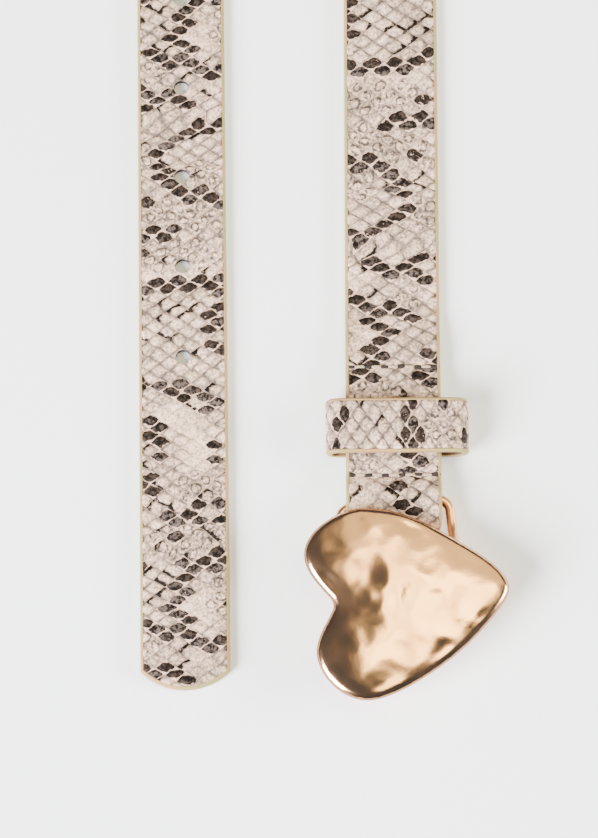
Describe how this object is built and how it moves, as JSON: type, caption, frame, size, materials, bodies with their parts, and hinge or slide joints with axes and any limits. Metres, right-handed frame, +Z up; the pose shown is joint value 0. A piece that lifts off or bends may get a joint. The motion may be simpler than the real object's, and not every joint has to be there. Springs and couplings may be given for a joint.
{
  "type": "snakeskin belt with a heart plate buckle",
  "caption": "Narrow snakeskin-print strap lying in a loop, with punched holes, a keeper loop and a hammered heart plate buckle on a wire frame.",
  "frame": {"origin": "on the surface that the belt lies on, under the middle of its bounding box", "axes": "+Y along the legs, from the tip and the buckle to the far bend; +X from the tip leg to the buckle leg; +Z up"},
  "size_m": [0.0978, 0.5105, 0.0252],
  "materials": {
    "snakeskin": "satin",
    "painted_edge": "satin",
    "backing": "matte",
    "thread": "matte",
    "hammered_metal": "satin",
    "wire_metal": "polished"
  },
  "bodies": {
    "belt": {"strap": "snakeskin", "keeper": "snakeskin"},
    "buckle": {"buckle": "hammered_metal"}
  },
  "joints": [
    {"name": "buckle_swing", "type": "hinge", "parent": "belt", "child": "buckle", "pos_m": [0.0193, -0.2021, 0.00305], "axis": [-0.9963, -0.0854, 0], "range_deg": [0, 60]}
  ]
}
